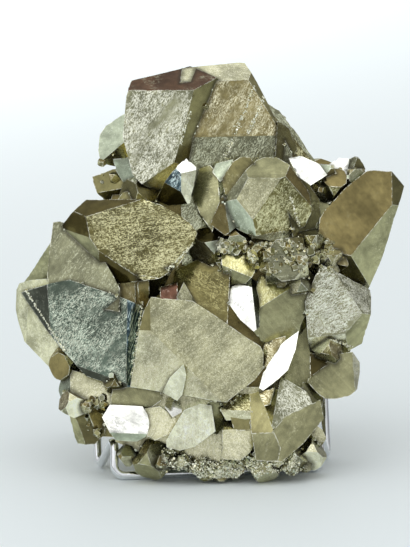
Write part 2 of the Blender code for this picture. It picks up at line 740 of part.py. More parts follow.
def stand_corners():
    """The corners of the wire loop before they are bent round, once about it."""
    r = WIRE_RADIUS
    side = (
        Vector((RAIL_HALF, 0, r)),
        Vector((LIP_HALF, LIP_BACK, LIP_HEIGHT)),
        Vector((NOTCH_HALF, NOTCH_BACK, NOTCH_HEIGHT)),
        Vector((NOTCH_HALF, SUPPORT_BACK, SUPPORT_HEIGHT)),
        Vector((NOTCH_HALF, FOOT_BACK, r)),
    )
    other = [Vector((-p.x, p.y, p.z)) for p in reversed(side)]
    middle = Vector((STAND_MIDDLE_X, 0, 0))
    return [middle + p for p in (*side, *other)]


def bent(corners):
    """The corners with each one bent round, as points along arcs of BEND_RADIUS."""
    points = []
    for n, corner in enumerate(corners):
        to_last = (corners[n - 1] - corner).normalized()
        to_next = (corners[(n + 1) % len(corners)] - corner).normalized()
        half_angle = to_last.angle(to_next) / 2
        reach = BEND_RADIUS / math.tan(half_angle)
        centre = corner + (to_last + to_next).normalized() * BEND_RADIUS / math.sin(half_angle)
        first = (corner + to_last * reach - centre).normalized()
        last = (corner + to_next * reach - centre).normalized()
        for step in range(BEND_STEPS + 1):
            points.append(centre + first.slerp(last, step / BEND_STEPS) * BEND_RADIUS)
    return points


def wire(name, radius, collection):
    curve = bpy.data.curves.new(name, "CURVE")
    curve.dimensions = "3D"
    curve.bevel_depth = radius * MM
    curve.bevel_resolution = 2
    points = bent(stand_corners())
    spline = curve.splines.new("POLY")
    spline.points.add(len(points) - 1)
    for place, point in zip(spline.points, points):
        place.co = (*(point * MM), 1)
    spline.use_cyclic_u = True
    spline.use_smooth = True
    item = bpy.data.objects.new(name, curve)
    collection.objects.link(item)
    return item


def as_mesh(item):
    """The curve object as a mesh object of the same name in the same place."""
    bpy.context.view_layer.update()
    evaluated = item.evaluated_get(bpy.context.evaluated_depsgraph_get())
    mesh = bpy.data.meshes.new_from_object(evaluated)
    bm = bmesh.new()
    bm.from_mesh(mesh)
    bmesh.ops.remove_doubles(bm, verts=bm.verts, dist=WELD)
    bmesh.ops.recalc_face_normals(bm, faces=bm.faces)
    bm.to_mesh(mesh)
    bm.free()
    name, collection = item.name, item.users_collection[0]
    matrix = item.matrix_world.copy()
    bpy.data.objects.remove(item)
    solid = bpy.data.objects.new(name, mesh)
    solid.matrix_world = matrix
    collection.objects.link(solid)
    return solid


def stand_on_origin(items, root):
    """Moves the root so that the middle of the underside is the origin."""
    bpy.context.view_layer.update()
    graph = bpy.context.evaluated_depsgraph_get()
    corners = []
    for item in items:
        evaluated = item.evaluated_get(graph)
        corners += [item.matrix_world @ v.co for v in evaluated.to_mesh().vertices]
        evaluated.to_mesh_clear()
    low = Vector([min(c[i] for c in corners) for i in range(3)])
    high = Vector([max(c[i] for c in corners) for i in range(3)])
    root.location = (-(low.x + high.x) / 2, -(low.y + high.y) / 2, -low.z)


def main():
    clear_scene()
    parts = new_collection("pyrite_specimen")
    growth = new_collection("crystals_before_joining")
    cutters = new_collection("cutters")
    stand = wire("wire_stand", WIRE_RADIUS, parts)
    stand.data.materials.append(new_material("chrome", CHROME, 1.0, 0.12))
    clearance = as_mesh(wire("wire_clearance", WIRE_RADIUS + CLEARANCE, cutters))
    clearance.hide_render = True
    clearance.display_type = "WIRE"
    cluster = build_cluster(parts, growth, clearance)
    root = bpy.data.objects.new("specimen_root", None)
    parts.objects.link(root)
    stand_on_origin((cluster, stand), root)
    helpers = [*growth.objects, clearance]
    for item in (cluster, stand, *helpers):
        item.parent = root


main()
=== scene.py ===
# %% [markdown]
# # A pyrite specimen on its wire stand
# Pyrite grows as bright metal crystals that crowd into each other. This lesson dresses such a cluster:
# its faces get finishes from mirror to dull brown, its cracks get fine crystals, and its stand gets
# polished chrome. We start from a fixed frame, which already holds every crystal at its real size.

import itertools
import math
import random
from collections import namedtuple

import bmesh
import bpy
from mathutils import Matrix, Vector, noise
from mathutils.bvhtree import BVHTree
from mathutils.kdtree import KDTree


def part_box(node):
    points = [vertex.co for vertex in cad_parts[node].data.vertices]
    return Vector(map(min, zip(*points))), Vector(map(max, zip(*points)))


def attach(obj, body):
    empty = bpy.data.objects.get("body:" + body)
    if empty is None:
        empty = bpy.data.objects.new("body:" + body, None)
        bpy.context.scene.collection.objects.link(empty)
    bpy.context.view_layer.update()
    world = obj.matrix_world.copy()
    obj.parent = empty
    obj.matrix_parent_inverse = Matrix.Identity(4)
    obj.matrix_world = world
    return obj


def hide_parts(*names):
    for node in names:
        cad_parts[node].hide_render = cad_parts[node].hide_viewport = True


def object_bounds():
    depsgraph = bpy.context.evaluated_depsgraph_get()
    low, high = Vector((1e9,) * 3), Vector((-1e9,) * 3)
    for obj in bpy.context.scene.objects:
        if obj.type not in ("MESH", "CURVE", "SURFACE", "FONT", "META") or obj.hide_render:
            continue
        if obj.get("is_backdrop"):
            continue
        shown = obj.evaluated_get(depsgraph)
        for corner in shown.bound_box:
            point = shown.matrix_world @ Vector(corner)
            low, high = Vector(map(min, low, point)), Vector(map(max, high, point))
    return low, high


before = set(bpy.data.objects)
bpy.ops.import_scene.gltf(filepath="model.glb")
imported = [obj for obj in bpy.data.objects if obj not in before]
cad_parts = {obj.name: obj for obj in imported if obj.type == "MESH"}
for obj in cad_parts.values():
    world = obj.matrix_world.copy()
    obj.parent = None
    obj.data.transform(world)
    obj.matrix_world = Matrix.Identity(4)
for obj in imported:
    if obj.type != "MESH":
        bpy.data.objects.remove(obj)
cad_low, cad_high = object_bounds()
print("nodes in the frame:", sorted(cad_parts))

# %% [markdown]
# ## The cluster's own axes
# The cluster sits turned and leaning back in its stand. It is easier to point at a crystal face in axes
# that lean with it: u to the right, v up and out towards the front, in millimetres. Their zero is at the
# middle of the stand's front rail, so we find it from the stand's box rather than type it in.

# %% Axes that lean with the cluster
MM = 0.001
TURN_DEG = -5.0
LEAN_DEG = 12.0
ROLL_DEG = 1.2
WIRE_RADIUS = 1.75
STAND_MIDDLE = 3.5  # how far right of the cluster's zero the middle of the stand is


def leaning_axes():
    turn, lean, roll = (math.radians(angle) for angle in (TURN_DEG, LEAN_DEG, ROLL_DEG))
    level_right = Vector((math.cos(turn), math.sin(turn), 0))
    level_up = Vector(
        (-math.sin(turn) * math.sin(lean), math.cos(turn) * math.sin(lean), math.cos(lean))
    )
    out = level_right.cross(level_up)
    right = level_right * math.cos(roll) - level_up * math.sin(roll)
    up = level_right * math.sin(roll) + level_up * math.cos(roll)
    return Matrix((right, up, out)).transposed()


stand_low, stand_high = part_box("wire_stand")
zero = Vector(
    ((stand_low.x + stand_high.x) / 2 - STAND_MIDDLE * MM, stand_low.y + WIRE_RADIUS * MM, 0)
)
axes = leaning_axes()


def place(u, v, out):
    """A point of the frame, in metres, from the cluster's axes, in millimetres."""
    return zero + axes @ Vector((u, v, out)) * MM


print("zero of the cluster's axes, mm:", [round(x / MM, 2) for x in zero])

# %% [markdown]
# ## A copy of the cluster with whole faces
# The frame's mesh is made of triangles. A limited dissolve merges those that lie in one plane, so that
# each natural crystal face becomes one polygon again. We can then name a face by a point on it.

# %% Merge triangles into crystal faces
WELD_MM = 0.002
SAME_PLANE_DEG = 0.8


def crystal_faces(node):
    shape = bmesh.new()
    shape.from_mesh(node.data)
    bmesh.ops.remove_doubles(shape, verts=shape.verts, dist=WELD_MM * MM)
    bmesh.ops.dissolve_limit(
        shape, angle_limit=math.radians(SAME_PLANE_DEG), verts=shape.verts, edges=shape.edges
    )
    shape.normal_update()
    shape.faces.ensure_lookup_table()
    return shape


cluster_shape = crystal_faces(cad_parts["pyrite_cluster"])
print("crystal faces:", len(cluster_shape.faces))

# %% [markdown]
# ## Pointing at a face
# A ray that starts in front of the cluster and runs along its depth meets the face that shows at (u, v).
# Neighbours cut some natural faces into several polygons, so we also ask which polygons share a plane:
# they are one face, and must get one finish.

# %% Rays and planes
IN_FRONT = 300.0
SAME_WAY = 0.9998  # the least dot product of two normals that count as one
SHARED_PLANE = 0.12

face_tree = BVHTree.FromBMesh(cluster_shape)


def front_hit(u, v):
    """The point that shows at (u, v), and the index of the face it is on."""
    at, _, index, _ = face_tree.ray_cast(place(u, v, IN_FRONT), -axes.col[2])
    return at, index


def plane_of(face):
    """The face's plane as its normal and how far out along it the plane lies, in mm."""
    return face.normal.copy(), face.normal.dot(face.calc_center_median()) / MM


def plane_key(face):
    """The plane in round numbers, to use as a key."""
    normal, reach = plane_of(face)
    return (*(round(x, 1) for x in normal), round(reach))


def faces_at(shape, point):
    """Every face in the plane of the one that shows at the point (u, v)."""
    index = front_hit(*point)[1]
    if index is None:
        return []
    normal, reach = plane_of(shape.faces[index])
    return [
        face for face in shape.faces
        if face.normal.dot(normal) > SAME_WAY and abs(plane_of(face)[1] - reach) < SHARED_PLANE
    ]


print("faces at the middle of the front:", len(faces_at(cluster_shape, (0, 60))))

# %% [markdown]
# ## Which face has which finish
# Pyrite is one mineral, but its faces differ: some are mirrors, some are etched and sparkle, some have a
# brown or blue-green tarnish. Each line below names a finish and points at the faces that have it. The
# faces that no line points at, most of them at the back, draw a finish by lot.

# %% Faces and their finishes
PLACES = {
    "mirror": (
        (-10, 123), (13, 71), (29, 49), (41, 124), (53, 126), (-33, 23), (-13, 28), (47, 87),
    ),
    "beige": ((-10, 74), (-6, 55), (5, 33), (18, 113)),
    "cream": (
        (-9, 117), (-54, 29), (-7, 21), (-14, 39), (59, 42), (40, 53), (44, 53), (20, 25),
        (-21, 120), (42, 9), (28, 13),
    ),
    "sand": (
        (-29, 53), (-49, 33), (-19, 21), (9, 163), (11, 13), (-38, 130), (-74, 67), (-78, 71),
        (-72, 61), (32, 15),
    ),
    "silver": ((-24, 139), (32, 31)),
    "frost": ((48, 69),),
    "brassy": ((12, 88), (21, 25), (24, 77)),
    "gold": ((10, 147), (23, 34), (25, 52)),
    "dark_gold": ((-2, 77),),
    "bronze": ((-28, 97), (26, 103), (40, 94), (11, 30), (11, 22)),
    "brown": ((-27, 74), (-28, 118), (60, 109), (-44, 25), (50, 117), (45, 115)),
    "umber": ((-38, 109), (-38, 85), (-54, 102), (-18, 111), (42, 46), (-2, 96)),
    "russet": ((-18, 158),),
    "olive": (
        (-7, 141), (31, 134), (12, 123), (76, 115), (-51, 20), (-34, 115), (-21, 78), (20, 153),
        (-43, 119), (-42, 114),
    ),
    "khaki": (
        (24, 126), (30, 64), (64, 63), (70, 97), (50, 40), (42, 27), (38, 109), (4, 25), (37, 46),
        (20, 90), (10, 79), (-28, 32), (-2, 113),
    ),
    "clay": ((-54, 87), (30, 86)),
    "moss": ((10, 133), (28, 145)),
    "pale": ((-41, 135), (-36, 122), (5, 124), (7, 106), (-60, 33)),
    "teal": ((-50, 59), (-18, 115)),
    "steel": ((-15, 120), (-32, 63), (9, 103), (-15, 26)),
    "dark": ((18, 73), (-45, 40), (-69, 74)),
    "maroon": ((-17, 75),),
}
ANY_FINISH = (
    "olive", "olive", "khaki", "khaki", "clay", "beige", "sand", "brown", "bronze", "gold",
    "silver", "pale",
)


def finish_of_faces(shape):
    """The finish of each face by its index: the pointed-out ones first, then the rest by lot."""
    chosen = {}
    for finish, points in PLACES.items():
        for point in points:
            for face in faces_at(shape, point):
                chosen.setdefault(face.index, finish)
    print("faces with a pointed-out finish:", len(chosen), "of", len(shape.faces))
    lots = {}
    dice = random.Random(8)
    for face in shape.faces:
        if face.index not in chosen:
            key = plane_key(face)
            if key not in lots:
                lots[key] = dice.choice(ANY_FINISH)
            chosen[face.index] = lots[key]
    return chosen


finishes = finish_of_faces(cluster_shape)

# %% [markdown]
# ## Node helpers
# Every material below is built from a few shader node groups. A group is a small tree with named inputs
# and outputs. These helpers make one, add a node to it and join its sockets, so that each group reads
# as a list of steps. A socket that has no name of its own is called by its number: n0, n1 and so on.

# %% Helpers for node trees
SOCKETS = {"value": "NodeSocketFloat", "vector": "NodeSocketVector"}


class Tree:
    """A node tree with short ways to add nodes and link them."""

    def __init__(self, tree):
        self.tree = tree

    def add(self, kind, settings=None, **sockets):
        node = self.tree.nodes.new(kind)
        for key, value in (settings or {}).items():
            setattr(node, key, value)
        for key, value in sockets.items():
            self.feed(node, key.replace("_", " "), value)
        return node

    def feed(self, node, label, value):
        numbered = label[0] == "n" and label[1:].isdigit()
        socket = node.inputs[int(label[1:]) if numbered else label]
        if isinstance(value, bpy.types.NodeSocket):
            self.tree.links.new(value, socket)
        else:
            socket.default_value = value

    def math(self, operation, first, second=0.0, third=0.0):
        node = self.add("ShaderNodeMath", {"operation": operation}, n0=first, n1=second, n2=third)
        return node.outputs[0]

    def vector(self, operation, first, second=(0, 0, 0)):
        node = self.add("ShaderNodeVectorMath", {"operation": operation}, n0=first, n1=second)
        return node.outputs[0]

    def stretch(self, vector, amount):
        node = self.add("ShaderNodeVectorMath", {"operation": "SCALE"}, n0=vector, Scale=amount)
        return node.outputs[0]

    def steps(self, value, low, high):
        """0 below low, 1 above high, with a smooth step between them."""
        node = self.add("ShaderNodeMapRange", {"interpolation_type": "SMOOTHSTEP"}, Value=value)
        self.feed(node, "From Min", low)
        self.feed(node, "From Max", high)
        return node.outputs[0]

    def noise(self, vector, scale, **sockets):
        return self.add("ShaderNodeTexNoise", Vector=vector, Scale=scale, **sockets)

    def blend(self, factor, first, second):
        node = self.add("ShaderNodeMix", {"data_type": "RGBA"}, n0=factor, n6=first, n7=second)
        return node.outputs[2]


def new_group(name, inputs, outputs):
    """A node group's helper, its input node's outputs and its output node."""
    tree = bpy.data.node_groups.new(name, "ShaderNodeTree")
    for kind, label, default in inputs:
        socket = tree.interface.new_socket(label, in_out="INPUT", socket_type=SOCKETS[kind])
        if default is not None:
            socket.default_value = default
    for kind, label in outputs:
        tree.interface.new_socket(label, in_out="OUTPUT", socket_type=SOCKETS[kind])
    given = tree.nodes.new("NodeGroupInput").outputs
    result = tree.nodes.new("NodeGroupOutput")
    return Tree(tree), given, result


print("socket types of the groups:", ", ".join(SOCKETS))

# %% [markdown]
# ## Etched grain: short bright strokes
# An etched pyrite face is a mosaic of tiny steps. The eye sees short, curly, bright strokes on a darker
# ground. The lines where a noise passes through its middle value are thin and curly, like contour lines
# on a map. A second noise breaks them into strokes. The same noise, read as a colour, tilts the normal,
# so the strokes flash when the stone turns.

# %% Node group: etched grain
STROKE_WIDTH = 0.085  # how far from the noise's middle value a stroke reaches, for a cover of 1
BREAK_SCALE = 0.9
BREAK_LEVEL, BREAK_COVER, BREAK_FADE = 0.50, 0.30, 0.22


def grain_group():
    nodes, given, result = new_group(
        "etched_grain",
        [("vector", "Vector", None), ("value", "Size", 1.0), ("value", "Cover", 0.4),
         ("value", "Draw", 0.6), ("value", "Tilt", 0.3), ("vector", "Normal", None)],
        [("vector", "Normal"), ("value", "Strokes")],
    )
    length = nodes.add("ShaderNodeCombineXYZ", X=given["Draw"], Y=1.0, Z=1.0).outputs[0]
    drawn_out = nodes.vector("MULTIPLY", given["Vector"], length)
    per_mm = nodes.math("DIVIDE", 1.0, given["Size"])
    relief = nodes.noise(drawn_out, per_mm, Detail=2.0, Roughness=0.5, Distortion=0.6)
    away = nodes.math("ABSOLUTE", nodes.math("SUBTRACT", relief.outputs["Fac"], 0.5))
    reach = nodes.math("MULTIPLY", given["Cover"], STROKE_WIDTH)
    lines = nodes.math("SUBTRACT", 1.0, nodes.steps(away, 0.0, reach))
    breaks = nodes.noise(given["Vector"], nodes.math("MULTIPLY", per_mm, BREAK_SCALE), Detail=1.0)
    lowest = nodes.math("SUBTRACT", BREAK_LEVEL, nodes.math("MULTIPLY", given["Cover"], BREAK_COVER))
    kept = nodes.steps(breaks.outputs["Fac"], lowest, nodes.math("ADD", lowest, BREAK_FADE))
    nodes.feed(result, "Strokes", nodes.math("MULTIPLY", lines, kept))
    tilt = nodes.vector("SUBTRACT", relief.outputs["Color"], (0.5, 0.5, 0.5))
    leaning = nodes.vector("ADD", given["Normal"], nodes.stretch(tilt, given["Tilt"]))
    nodes.feed(result, "Normal", nodes.vector("NORMALIZE", leaning))
    return nodes.tree


etched_grain = grain_group()
print("node group:", etched_grain.name)

# %% [markdown]
# ## Tarnish: slow drifts of colour
# Handling and damp dull pyrite in patches. Noise at two sizes, pushed to more contrast, gives a mask of
# where the tarnish lies. Each material decides how much darker or lighter the mask makes it.

# %% Node group: tarnish
BROAD_SHARE, FINE_SHARE = 0.75, 0.25
FINE_TARNISH_SCALE = 7.0
TARNISH_SPAN, TARNISH_LEAST_SPAN = 0.4, 0.04


def tarnish_group():
    nodes, given, result = new_group(
        "patchy_tarnish",
        [("vector", "Vector", None), ("value", "Patch Size", 14.0), ("value", "Contrast", 0.6)],
        [("value", "Mask")],
    )
    scale = nodes.math("DIVIDE", 1.0, given["Patch Size"])
    broad = nodes.noise(given["Vector"], scale, Detail=4.0, Roughness=0.55).outputs["Fac"]
    fine_scale = nodes.math("MULTIPLY", scale, FINE_TARNISH_SCALE)
    fine = nodes.noise(given["Vector"], fine_scale, Detail=3.0).outputs["Fac"]
    fine_part = nodes.math("MULTIPLY", fine, FINE_SHARE)
    mixed = nodes.math("ADD", nodes.math("MULTIPLY", broad, BROAD_SHARE), fine_part)
    softness = nodes.math("SUBTRACT", 1.0, given["Contrast"])
    span = nodes.math("MULTIPLY_ADD", softness, TARNISH_SPAN, TARNISH_LEAST_SPAN)
    low, high = nodes.math("SUBTRACT", 0.5, span), nodes.math("ADD", 0.5, span)
    nodes.feed(result, "Mask", nodes.steps(mixed, low, high))
    return nodes.tree


patchy_tarnish = tarnish_group()
print("node group:", patchy_tarnish.name)

# %% [markdown]
# ## Growth streaks
# Pyrite is famous for fine straight streaks, left by two crystal forms taking turns as it grew. Noise
# drawn out many times along one direction gives bands of streaks, some thin and some broad.

# %% Node group: growth streaks
STREAK_RANGE = (0.36, 0.66)


def streak_group():
    nodes, given, result = new_group(
        "growth_streaks",
        [("vector", "Vector", None), ("value", "Spacing", 2.5), ("value", "Length", 9.0)],
        [("value", "Mask")],
    )
    shrink = nodes.math("DIVIDE", 1.0, given["Length"])
    along = nodes.add("ShaderNodeCombineXYZ", X=shrink, Y=1.0, Z=1.0).outputs[0]
    drawn_out = nodes.vector("MULTIPLY", given["Vector"], along)
    scale = nodes.math("DIVIDE", 1.0, given["Spacing"])
    bands = nodes.noise(drawn_out, scale, Detail=4.0, Roughness=0.7, Distortion=0.3)
    nodes.feed(result, "Mask", nodes.steps(bands.outputs["Fac"], *STREAK_RANGE))
    return nodes.tree


growth_streaks = streak_group()
print("node group:", growth_streaks.name)

# %% [markdown]
# ## The etched patch
# The etching stops short of a face's edges: a smooth, darker margin runs round it. The mesh below stores
# at each point how far the nearest edge is, and noise makes the patch's border ragged. A second noise,
# drawn out along the streaks, leaves parts of the patch bare, with soft borders.

# %% Node group: etched patch
RAGGED_SCALE, RAGGED_MIDDLE, RAGGED_REACH = 0.25, 0.46, 16.0
BARE_SCALE, BARE_DRAWN_OUT, BARE_FADE = 0.12, 0.45, 0.22


def patch_group():
    nodes, given, result = new_group(
        "etched_patch",
        [("vector", "Vector", None), ("value", "Margin", 0.0), ("value", "Width", 1.2),
         ("value", "Bare", 0.35)],
        [("value", "Mask")],
    )
    ragged = nodes.noise(given["Vector"], RAGGED_SCALE, Detail=5.0, Roughness=0.7).outputs["Fac"]
    shift = nodes.math("MULTIPLY", nodes.math("SUBTRACT", ragged, RAGGED_MIDDLE), RAGGED_REACH)
    inside = nodes.math("ADD", given["Margin"], shift)
    edge = nodes.steps(inside, nodes.math("MULTIPLY", given["Width"], 0.5), given["Width"])
    bands = nodes.vector("MULTIPLY", given["Vector"], (BARE_DRAWN_OUT, 1.0, 1.0))
    spots = nodes.noise(bands, BARE_SCALE, Detail=4.0, Roughness=0.6).outputs["Fac"]
    covered = nodes.steps(spots, given["Bare"], nodes.math("ADD", given["Bare"], BARE_FADE))
    nodes.feed(result, "Mask", nodes.math("MULTIPLY", edge, covered))
    return nodes.tree


etched_patch = patch_group()
print("node group:", etched_patch.name)

# %% [markdown]
# ## Worn edges and painted highlights
# The ridges between pyrite's faces are chipped and catch the light, and that light is painted here as a
# pale colour. A Bevel node rounds the normal near a ridge, so where it differs from the true normal
# there is an edge. Noise breaks the line into chips.

# %% Node group: worn edges with painted highlights
EDGE_RANGE = (0.004, 0.04)  # how much the rounded normal differs from the true one
EDGE_CHIP_SCALE, EDGE_CHIP_FADE = 0.45, 0.1
BEVEL_SAMPLES = 6


def edge_highlight_group():
    nodes, given, result = new_group(
        "worn_edges_and_highlights",
        [("vector", "Vector", None), ("value", "Width", 0.5), ("value", "Breaks", 0.44)],
        [("value", "Mask")],
    )
    radius = nodes.math("MULTIPLY", given["Width"], MM)
    rounded = nodes.add("ShaderNodeBevel", {"samples": BEVEL_SAMPLES}, Radius=radius).outputs[0]
    straight = nodes.add("ShaderNodeNewGeometry").outputs["Normal"]
    alike = nodes.add("ShaderNodeVectorMath", {"operation": "DOT_PRODUCT"}, n0=rounded, n1=straight)
    edge = nodes.steps(nodes.math("SUBTRACT", 1.0, alike.outputs["Value"]), *EDGE_RANGE)
    chips = nodes.noise(given["Vector"], EDGE_CHIP_SCALE, Detail=4.0, Roughness=0.7).outputs["Fac"]
    kept = nodes.steps(chips, given["Breaks"], nodes.math("ADD", given["Breaks"], EDGE_CHIP_FADE))
    nodes.feed(result, "Mask", nodes.math("MULTIPLY", edge, kept))
    return nodes.tree


worn_edges_and_highlights = edge_highlight_group()
print("node group:", worn_edges_and_highlights.name)

# %% [markdown]
# ## The finishes of the pyrite
# All finishes are one recipe with other values: the colour of the smooth ground, the colour of the
# strokes, a roughness, and how the grain lies. Smooth ground is the darker one, because it mirrors a
# single place, while etched steps gather light from all round. Colours are linear. Red and green are
# nearly equal in pyrite, so it looks greenish beside gold.

# %% A table of finishes
Finish = namedtuple("Finish", "smooth strokes roughness cover grain_mm draw bare")
FINISHES = {
    "mirror": Finish((0.86, 0.86, 0.80), (1.0, 1.0, 1.0), 0.12, 0.5, 1.0, 0.4, 0.40),
    "cream": Finish((0.86, 0.85, 0.61), (1.0, 1.0, 0.88), 0.23, 0.6, 0.7, 0.7, 0.15),
    "sand": Finish((0.64, 0.62, 0.40), (1.0, 0.97, 0.74), 0.25, 0.7, 0.6, 0.7, 0.20),
    "beige": Finish((0.455, 0.44, 0.265), (0.90, 0.88, 0.62), 0.27, 0.75, 0.6, 0.7, 0.20),
    "silver": Finish((0.27, 0.27, 0.165), (1.0, 1.0, 0.84), 0.21, 1.25, 0.55, 0.40, 0.30),
    "frost": Finish((0.40, 0.385, 0.24), (1.0, 1.0, 0.84), 0.21, 1.45, 0.60, 0.40, 0.26),
    "brassy": Finish((0.60, 0.56, 0.26), (1.0, 0.98, 0.62), 0.21, 0.7, 0.9, 0.4, 0.25),
    "gold": Finish((0.29, 0.245, 0.11), (0.97, 0.93, 0.66), 0.23, 0.95, 0.55, 0.30, 0.34),
    "dark_gold": Finish((0.15, 0.13, 0.05), (0.44, 0.41, 0.20), 0.19, 0.7, 0.7, 0.25, 0.36),
    "bronze": Finish((0.17, 0.15, 0.055), (0.86, 0.83, 0.50), 0.23, 0.95, 0.60, 0.45, 0.24),
    "brown": Finish((0.24, 0.195, 0.08), (0.40, 0.36, 0.20), 0.23, 0.3, 1.2, 0.6, 0.48),
    "umber": Finish((0.10, 0.082, 0.028), (0.36, 0.32, 0.17), 0.15, 0.3, 1.0, 0.6, 0.50),
    "russet": Finish((0.125, 0.072, 0.042), (0.48, 0.48, 0.34), 0.13, 0.9, 1.2, 0.2, 0.46),
    "olive": Finish((0.22, 0.20, 0.09), (0.55, 0.53, 0.34), 0.21, 0.35, 1.0, 0.5, 0.46),
    "khaki": Finish((0.34, 0.33, 0.18), (0.72, 0.70, 0.46), 0.23, 0.35, 0.9, 0.6, 0.42),
    "clay": Finish((0.235, 0.235, 0.145), (0.56, 0.57, 0.41), 0.25, 0.5, 0.7, 0.3, 0.30),
    "moss": Finish((0.25, 0.25, 0.15), (0.80, 0.83, 0.60), 0.21, 0.95, 0.55, 0.3, 0.26),
    "pale": Finish((0.48, 0.53, 0.39), (0.85, 0.92, 0.76), 0.19, 0.35, 0.9, 0.6, 0.42),
    "teal": Finish((0.17, 0.215, 0.165), (0.95, 1.0, 0.80), 0.17, 1.1, 0.58, 0.35, 0.28),
    "steel": Finish((0.07, 0.11, 0.125), (0.85, 1.0, 0.98), 0.10, 0.8, 1.0, 0.08, 0.20),
    "dark": Finish((0.07, 0.075, 0.055), (0.34, 0.35, 0.27), 0.15, 0.4, 1.2, 0.6, 0.40),
    "maroon": Finish((0.17, 0.085, 0.055), (0.5, 0.36, 0.30), 0.19, 0.4, 1.0, 0.5, 0.40),
    "tan": Finish((0.46, 0.42, 0.20), (0.86, 0.82, 0.52), 0.24, 0.35, 0.9, 0.5, 0.44),
}
finish_index = {name: n for n, name in enumerate(FINISHES)}
print("finishes:", ", ".join(FINISHES))

# %% [markdown]
# ## One material for each finish
# The groups are joined here, around the one Principled shader. Strokes lie over the ground, worn edges
# with their painted highlight lie over both, and grime with painted shade darkens the cracks last. Each
# face moves its pattern by a lot of its own, so that no grain runs on across a ridge, and turns it by an
# angle of its own, so that streaks follow it.

# %% Materials
METALLIC = 0.95
LOT_REACH = 60.0
COVER_LEAST, COVER_BY_TARNISH, COVER_BY_STREAKS = 0.4, 0.7, 0.6
GRAIN_TILT = 0.5
TARNISH_DARK, TARNISH_LIGHT = 0.62, 1.38
STREAK_DARK, STREAK_LIGHT = 0.90, 1.10
# A pale colour along the ridges: chipped wear, with a painted highlight where they catch the light.
EDGE_HIGHLIGHT_COLOUR = (0.95, 0.95, 0.82, 1.0)
EDGE_HIGHLIGHT_STRENGTH = 0.9
# A dark brown blended in near cracks: grime, with painted shade where the crystals crowd the light out.
CRACK_GRIME_AND_SHADE = (0.035, 0.03, 0.018, 1.0)
CRACK_SHADE_WIDTH, CRACK_SHADE_STRENGTH = 2.2, 0.7
ROUGHER, TARNISH_POLISH = 0.03, -0.06


def cluster_place(nodes):
    """The point on the surface in the cluster's axes, in mm."""
    here = nodes.stretch(nodes.add("ShaderNodeTexCoord").outputs["Object"], 1 / MM)
    upright = nodes.add("ShaderNodeMapping", Vector=here, Rotation=axes.transposed().to_euler())
    return upright.outputs[0]


def stored(nodes, name, output="Fac"):
    return nodes.add("ShaderNodeAttribute", {"attribute_name": name}).outputs[output]


def use_group(nodes, group, **sockets):
    return nodes.add("ShaderNodeGroup", {"node_tree": group}, **sockets).outputs


def between(nodes, mask, low, high):
    return nodes.math("MULTIPLY_ADD", mask, high - low, low)


def pyrite_finish(name):
    look = FINISHES[name]
    material = bpy.data.materials.new(f"pyrite_{name}")
    material.use_nodes = True
    nodes = Tree(material.node_tree)
    shader = material.node_tree.nodes["Principled BSDF"]
    shader.inputs["Metallic"].default_value = METALLIC
    lot = nodes.stretch(stored(nodes, "facet_lot", "Vector"), LOT_REACH)
    where = nodes.vector("ADD", cluster_place(nodes), lot)
    turn = nodes.add("ShaderNodeVectorRotate", {"rotation_type": "Z_AXIS"}, Vector=where,
                     Angle=stored(nodes, "streak_turn"))
    turned = turn.outputs[0]
    tarnish = use_group(nodes, patchy_tarnish, Vector=where)["Mask"]
    streaks = use_group(nodes, growth_streaks, Vector=turned)["Mask"]
    margin = stored(nodes, "margin_mm")
    etched = use_group(nodes, etched_patch, Vector=turned, Margin=margin, Bare=look.bare)["Mask"]
    thick = nodes.math("MULTIPLY_ADD", tarnish, COVER_BY_TARNISH, COVER_LEAST)
    thick = nodes.math("MULTIPLY_ADD", streaks, COVER_BY_STREAKS, thick)
    grain = use_group(
        nodes, etched_grain, Vector=turned, Size=look.grain_mm, Draw=look.draw,
        Cover=nodes.math("MULTIPLY", thick, look.cover),
        Tilt=nodes.math("MULTIPLY", etched, GRAIN_TILT * look.cover),
        Normal=nodes.add("ShaderNodeNewGeometry").outputs["Normal"],
    )
    drift = between(nodes, tarnish, TARNISH_DARK, TARNISH_LIGHT)
    sweep = between(nodes, streaks, STREAK_DARK, STREAK_LIGHT)
    ground = nodes.stretch(look.smooth, nodes.math("MULTIPLY", drift, sweep))
    strokes = nodes.math("MULTIPLY", grain["Strokes"], etched)
    face = nodes.blend(strokes, ground, (*look.strokes, 1.0))
    # Ridges are blended towards the pale colour: wear together with a painted highlight.
    edges = use_group(nodes, worn_edges_and_highlights, Vector=where)["Mask"]
    worn_and_highlit = nodes.blend(nodes.math("MULTIPLY", edges, EDGE_HIGHLIGHT_STRENGTH), face, EDGE_HIGHLIGHT_COLOUR)
    # Near cracks the colour is darkened towards that brown: grime together with painted shade.
    clear_of_crack_shade = between(nodes, nodes.steps(stored(nodes, "crack_mm"), 0.0, CRACK_SHADE_WIDTH),
                    1 - CRACK_SHADE_STRENGTH, 1.0)
    grime_and_shade = nodes.blend(clear_of_crack_shade, CRACK_GRIME_AND_SHADE, worn_and_highlit)
    nodes.feed(shader, "Base Color", nodes.vector("MINIMUM", grime_and_shade, (1, 1, 1)))
    dulled = nodes.math("MULTIPLY_ADD", tarnish, TARNISH_POLISH, look.roughness + ROUGHER)
    nodes.feed(shader, "Roughness", dulled)
    nodes.feed(shader, "Normal", grain["Normal"])
    return material


pyrite = {name: pyrite_finish(name) for name in FINISHES}
print("nodes in one material:", len(pyrite["gold"].node_tree.nodes))

# %% [markdown]
# ## Lots and turns
# Each plane now gets its lot, a random vector, and its turn, a random angle. On the largest faces the
# streaks lie in a known direction, so their turns are given, in degrees, for a point on the face.

# %% Lots and turns of the faces
STREAK_TURNS = {
    (-24, 139): 58, (10, 147): 62, (10, 133): 55, (-28, 97): 8, (-50, 59): 48, (-6, 55): 40,
    (-29, 53): 70, (48, 69): 35,
}


